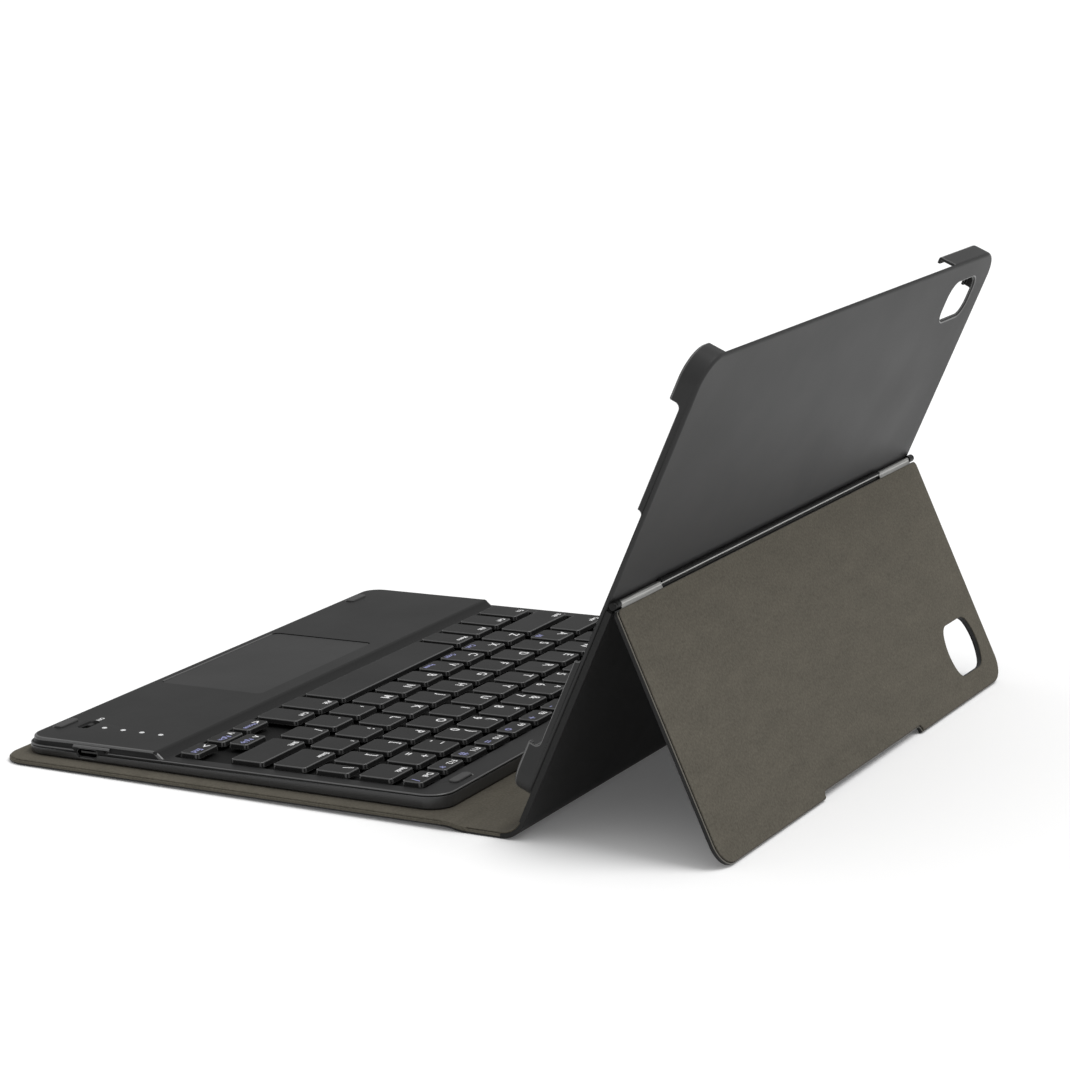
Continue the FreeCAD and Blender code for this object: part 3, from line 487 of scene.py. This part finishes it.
def strip(name, stations, material):
    """Loft a strip through stations: place, direction, half width, low and high side."""
    work = bmesh.new()
    rings = []
    for place, angle, half_width, low, high in stations:
        ring = [Vector((x, 0, 0)) + place + upright(angle) * h for x, h in section(half_width, low, high)]
        rings.append([work.verts.new(point) for point in ring])
    for one, two in zip(rings, rings[1:]):
        for n in range(len(one)):
            m = (n + 1) % len(one)
            work.faces.new((one[n], one[m], two[m], two[n]))
    work.faces.new(list(reversed(rings[0])))
    work.faces.new(rings[-1])
    bmesh.ops.recalc_face_normals(work, faces=work.faces)
    return new_piece(name, work, material)


def arc(fixed, fixed_angle, start, end, radius, steps):
    """Places and directions along an arc through a point where its direction is known."""
    side = math.copysign(radius, end - start)
    centre = fixed + upright(fixed_angle) * side
    angles = [start + (end - start) * n / steps for n in range(steps + 1)]
    return [(centre - upright(angle) * side, angle) for angle in angles]


def make_fold(node, path, widths, between, lining_inset):
    """Fold without a board: skin outside and lining inside, which meet at a height above the middle."""
    layers = {"skin": (-HALF_WRAP, between, 0.0), "lining": (between, HALF_WRAP, lining_inset)}
    for slot, (low, high, inset) in layers.items():
        stations = []
        for n, (place, angle) in enumerate(path):
            share = n / (len(path) - 1)
            half_width = widths[0] + (widths[1] - widths[0]) * share - inset
            stations.append((place, angle, half_width, low, high))
        piece = strip(node + "_" + slot, stations, materials[slot])
        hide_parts(node)
        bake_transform(piece)


front_path = arc(crease_front, -STEP_ANGLE, COVER_TILT, -STEP_ANGLE, STEP_RADIUS, FRONT_FOLD_STEPS)
front_path += arc(crease_front, -STEP_ANGLE, -STEP_ANGLE, 0, STEP_RADIUS, FRONT_FOLD_STEPS)[1:]
front_widths = (COVER_HALF_WIDTH, SPINE_HALF_WIDTH)
make_fold("front_fold", front_path, front_widths, SKIN_AT_EDGE - HALF_WRAP, 0.0)
spine_end = crease_rear - Vector((0, REAR_FOLD_REACH, 0))
rear_radius = REAR_FOLD_REACH / math.tan(TRAY_LEAN / 2)
rear_path = arc(spine_end, 0, 0, TRAY_LEAN, rear_radius, REAR_FOLD_STEPS)
rear_widths = (SPINE_HALF_WIDTH, SPINE_HALF_WIDTH)
make_fold("rear_fold", rear_path, rear_widths, HALF_WRAP - LINING, LINING_INSET)


def line_sides(piece, middle, angle):
    """Carry the lining over a panel's sides, down to a dark line of skin at its foot."""
    up = upright(angle)
    place = middle + up * (SKIN_AT_EDGE - HALF_WRAP)
    work = bmesh.new()
    work.from_mesh(piece.data)
    everything = work.verts[:] + work.edges[:] + work.faces[:]
    bmesh.ops.bisect_plane(work, geom=everything, plane_co=place, plane_no=up)
    for face in work.faces:
        if (face.calc_center_median() - place).dot(up) > 0:
            face.material_index = 1
    work.to_mesh(piece.data)
    work.free()
    piece.data.materials.append(materials["lining"])


def painted_highlight_rim(piece, width):
    """Pale band on the rounded rim of the flap's skin where it is turned up round the board: a painted highlight.
    """
    work = bmesh.new()
    work.from_mesh(piece.data)
    round_edges(work, flap_outline(work, max), width, segments=2, clamp=False, material=1)
    work.to_mesh(piece.data)
    work.free()
    piece.data.materials.append(cut_edge)


fold_ends = [front_path[0], front_path[-1], rear_path[0], rear_path[-1]]
# Widths in millimetres, of pieces that are rounded alike
edge_rounding = {
    "cover_lining": 0.25, "spine_lining": 0.25,
    "back_panel_skin": 0.25, "back_panel_lining": 0.2, "flap_lining": 0.45, "hinge_barrel": 0.1,
    "hinge_leaf_right": 0.08, "hinge_leaf_left": 0.08,
    "touchpad_surface": 0.12, "usb_c_socket": 0.06, "power_switch_knob": 0.12,
}
for node, width in edge_rounding.items():
    softened(node, width * MM)
line_sides(softened("cover_skin", WRAP_EDGE), *front_path[0])
line_sides(softened("spine_skin", WRAP_EDGE), *front_path[-1])
softened("keyboard_base", BASE_EDGE, segments=3, chosen=rim_edges, whole_width=True)
softened("keyboard_deck", DECK_EDGE, segments=3, chosen=rim_edges, whole_width=True)
softened("tray_shell", TRAY_EDGE, segments=3, whole_width=True)
flap_skin = softened("flap_skin", WRAP_EDGE, chosen=lambda work: flap_outline(work, min), whole_width=True)
painted_highlight_rim(flap_skin, FLAP_RIM)
softened("hinge_end_caps", CAP_EDGE, segments=4)
softened("rubber_bumpers", BUMPER_EDGE, segments=4)

# Keys: rounded caps, their legends and the rubber domes below them

white_words = {
    "escape_key": ["Esc"],
    "function_keys": ["F%d" % n for n in range(1, 13)] + ["Del"],
    "number_keys": list("~!@#$%^&*()_+"),
    "backspace_key": ["Back"],
    "tab_key": ["Tab"],
    "upper_letter_keys": list("QWERTYUIOP[]\\"),
    "caps_key": ["Caps"],
    "home_letter_keys": list("ASDFGHJKL;'"),
    "enter_key": ["Enter"],
    "left_shift_key": ["Shift"],
    "lower_letter_keys": list("ZXCVBNM,./"),
    "right_shift_key": ["Shift"],
    "modifier_keys": ["Fn", "Ctrl", "Alt", "Menu", "Alt", "Ctrl"],
    "arrow_left_key": ["<"],
    "arrow_down_key": ["v"],
    "arrow_up_key": ["^"],
    "arrow_right_key": [">"],
    "space_bar": [],
}
white_low_words = {"number_keys": list("`1234567890-=")}
violet_words = {
    "function_keys": ["-", "+", "<<", ">", ">>", "x", "-", "+", "o", "=", "#", "*", "/"],
    "home_letter_keys": ["All"],
    "lower_letter_keys": ["", "Cut", "Copy", "Paste"],
    "arrow_left_key": ["Home"],
    "arrow_down_key": ["PgDn"],
    "arrow_up_key": ["PgUp"],
    "arrow_right_key": ["End"],
}


def key_tops(node):
    """Top of each key of a node from left to right: limits in X and along the keyboard, and height."""
    work = node_mesh(node)
    left = set(work.verts)
    tops = []
    while left:
        island = [left.pop()]
        for vert in island:
            near = [edge.other_vert(vert) for edge in vert.link_edges]
            island += [other for other in near if other in left]
            left.difference_update(near)
        points = [TO_KEYBOARD @ vert.co for vert in island]
        height = max(point.z for point in points)
        top = [point for point in points if point.z > height - TOP_BAND]
        x = [point.x for point in top]
        y = [point.y for point in top]
        tops.append((min(x), max(x), min(y), max(y), height))
    work.free()
    return sorted(tops)


def lathe(work, x, y, profile):
    """Add a round body to a mesh at a place in the keyboard's slant, by its radius at each height."""
    rings = []
    for radius, z in profile:
        turns = [2 * math.pi * n / LATHE_SIDES for n in range(LATHE_SIDES)]
        points = [Vector((x + radius * math.cos(turn), y + radius * math.sin(turn), z)) for turn in turns]
        rings.append([work.verts.new(FROM_KEYBOARD @ point) for point in points])
    for one, two in zip(rings, rings[1:]):
        for n in range(LATHE_SIDES):
            m = (n + 1) % LATHE_SIDES
            work.faces.new((one[n], one[m], two[m], two[n]))
    work.faces.new(list(reversed(rings[0])))
    work.faces.new(rings[-1])


def make_domes(node):
    """Rubber domes that carry the keys of a node: a skirt below a stem."""
    points = [TO_KEYBOARD @ vert.co for vert in nodes["rubber_domes"].data.vertices]
    foot = min(point.z for point in points)
    height = max(point.z for point in points) - foot
    # Shares of the radius and of the height
    shape = ((1.0, 0.0), (1.0, 0.1), (0.93, 0.3), (0.8, 0.5), (0.6, 0.62), (0.55, 0.7), (0.55, 1.0))
    profile = [(DOME_RADIUS * wide, foot + height * high) for wide, high in shape]
    work = bmesh.new()
    for x0, x1, y0, y1, _ in key_tops(node):
        lathe(work, (x0 + x1) / 2, (y0 + y1) / 2, profile)
    piece = new_piece(node + "_domes", work, finish["rubber_domes"])
    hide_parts("rubber_domes")
    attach(piece, body_of["rubber_domes"])
    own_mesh(piece)


def make_lenses():
    """Status lights: light pipes that end in low round lenses on the housing."""
    # Shares of the radius, and millimetres above the housing
    shape = ((0.55, -1.2), (0.55, 0.0), (1.0, 0.0), (1.0, 0.05), (0.9, 0.12), (0.5, 0.18))
    work = bmesh.new()
    for x0, x1, y0, y1, top in key_tops("status_lights"):
        profile = [(LENS_RADIUS * wide, top + high * MM) for wide, high in shape]
        lathe(work, (x0 + x1) / 2, (y0 + y1) / 2, profile)
    piece = new_piece("status_lights_lenses", work, finish["status_lights"])
    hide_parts("status_lights")
    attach(piece, body_of["status_lights"])


text_curve = bpy.data.curves.new("legend", "FONT")
text_curve.resolution_u = 3
text_curve.offset = LEGEND_WEIGHT
text_object = bpy.data.objects.new("legend", text_curve)
scene.collection.objects.link(text_object)


def add_word(work, word, size, x, y, z, align):
    """Add flat lettering at a place in the keyboard's slant, read from the typist's side."""
    text_curve.body = word
    text_curve.size = size
    text_curve.align_x = align
    shown = text_object.evaluated_get(bpy.context.evaluated_depsgraph_get())
    mesh = bpy.data.meshes.new_from_object(shown)
    mesh.transform(FROM_KEYBOARD @ Matrix.Translation((x, y, z)))
    work.from_mesh(mesh)
    bpy.data.meshes.remove(mesh)


def make_legends(node, words, place, ink, name):
    """Print words on the keys of a node from left to right, where there are any."""
    if not words:
        return
    work = bmesh.new()
    for word, (x0, x1, y0, y1, height) in zip(words, key_tops(node)):
        if not word:
            continue
        size = SIZE_BY_LETTERS[len(word)]
        rear = y1 - LEGEND_MARGIN - CAPITAL_HEIGHT * size
        front = y0 + LEGEND_MARGIN if y1 - y0 > DEEP_KEY else rear
        x, y, align = {
            "rear_left": (x0 + LEGEND_MARGIN, rear, "LEFT"),
            "front_left": (x0 + LEGEND_MARGIN, front, "LEFT"),
            "front_right": (x1 - LEGEND_MARGIN, front, "RIGHT"),
        }[place]
        add_word(work, word, size, x, y, height + INK_ABOVE, align)
    piece = new_piece(node + name, work, ink)
    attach(piece, body_of[node])


def make_switch_mark():
    """Print the word at the end of the switch's slot where the keyboard is switched on."""
    low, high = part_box("power_switch_body")
    middle = TO_KEYBOARD @ ((Vector(low) + Vector(high)) / 2)
    *_, deck_top = key_tops("status_lights")[0]
    x = middle.x - SWITCH_RECESS / 2 - SWITCH_WORD_GAP
    y = middle.y - CAPITAL_HEIGHT * SWITCH_WORD / 2
    work = bmesh.new()
    add_word(work, "ON", SWITCH_WORD, x, y, deck_top + INK_ABOVE, "RIGHT")
    piece = new_piece("power_switch_mark", work, white_ink)
    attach(piece, "keyboard")


for node, words in white_words.items():
    softened(node, KEY_EDGE, segments=3)
    make_domes(node)
    make_legends(node, words, "rear_left", white_ink, "_legend")
for node, words in white_low_words.items():
    make_legends(node, words, "front_left", white_ink, "_low_legend")
for node, words in violet_words.items():
    make_legends(node, words, "front_right", violet_ink, "_second_legend")
make_switch_mark()
bpy.data.objects.remove(text_object)
make_lenses()

# Floor, light and camera


def seen_directly(tree):
    """One where a surface is seen directly, in a reflection or through glass, zero where it only lights."""
    path = tree.nodes.new("ShaderNodeLightPath")
    seen = path.outputs["Is Camera Ray"]
    for kind in ("Is Glossy Ray", "Is Transmission Ray"):
        either = tree.nodes.new("ShaderNodeMath")
        either.operation = "MAXIMUM"
        tree.links.new(seen, either.inputs[0])
        tree.links.new(path.outputs[kind], either.inputs[1])
        seen = either.outputs["Value"]
    return seen


def make_world():
    """Pale surroundings, brighter overhead than at the horizon."""
    world = bpy.data.worlds.new("studio")
    world.use_nodes = True
    scene.world = world
    tree = world.node_tree
    background = tree.nodes["Background"]
    direction = tree.nodes.new("ShaderNodeTexCoord")
    split = tree.nodes.new("ShaderNodeSeparateXYZ")
    height = tree.nodes.new("ShaderNodeMapRange")
    height.inputs["To Min"].default_value = HORIZON
    height.inputs["To Max"].default_value = OVERHEAD
    tree.links.new(direction.outputs["Generated"], split.inputs["Vector"])
    tree.links.new(split.outputs["Z"], height.inputs["Value"])
    tree.links.new(height.outputs["Result"], background.inputs["Strength"])
    background.inputs["Color"].default_value = (1, 1, 1, 1)


def make_floor():
    """Plain white floor."""
    surface = Surface("white_floor")
    surface.set(base_color=grey(FLOOR_SHADE) + (1,), roughness=0.9, specular_ior_level=0.0)
    surface.set(emission_color=(1, 1, 1, 1))
    glow = surface.between(seen_directly(surface.tree), 0.0, FLOOR_GLOW, (0.0, 1.0))
    surface.link(glow, surface.shader.inputs["Emission Strength"])
    work = bmesh.new()
    bmesh.ops.create_grid(work, x_segments=1, y_segments=1, size=FLOOR_HALF_SIZE)
    floor = new_piece("floor", work, surface.material)
    floor.location.z = -FLOOR_DROP


def make_lamp(name, place, spread, strength):
    """Wide soft light that comes from the direction of a place."""
    lamp = bpy.data.lights.new(name, "SUN")
    lamp.angle = spread
    lamp.energy = strength
    holder = bpy.data.objects.new(name, lamp)
    holder.location = place
    holder.rotation_euler = (-Vector(place)).to_track_quat("-Z", "Y").to_euler()
    scene.collection.objects.link(holder)


def make_camera():
    """Camera at the photograph's place, with its roll."""
    right = Vector((math.cos(CAMERA_AZIMUTH), math.sin(CAMERA_AZIMUTH), 0))
    ahead = Vector((-math.sin(CAMERA_AZIMUTH), math.cos(CAMERA_AZIMUTH), 0))
    forward = ahead * math.cos(CAMERA_ELEVATION) - Vector((0, 0, math.sin(CAMERA_ELEVATION)))
    up = right.cross(forward)
    roll = Matrix.Rotation(CAMERA_ROLL, 4, -forward)
    camera = bpy.data.cameras.new("camera")
    camera.sensor_width = SENSOR_WIDTH
    camera.lens = PHOTO_FOCAL_PIXELS / PHOTO_SIZE * camera.sensor_width
    camera.clip_start = CLIP_START
    holder = bpy.data.objects.new("camera", camera)
    turn = Matrix((right, up, -forward)).transposed().to_4x4()
    holder.matrix_world = Matrix.Translation(CAMERA_PLACE) @ roll @ turn
    scene.collection.objects.link(holder)
    scene.camera = holder


make_world()
make_floor()
make_lamp("soft_box_above", LAMP_PLACE, LAMP_SPREAD, LAMP_STRENGTH)
make_camera()
scene.view_settings.view_transform = "Standard"
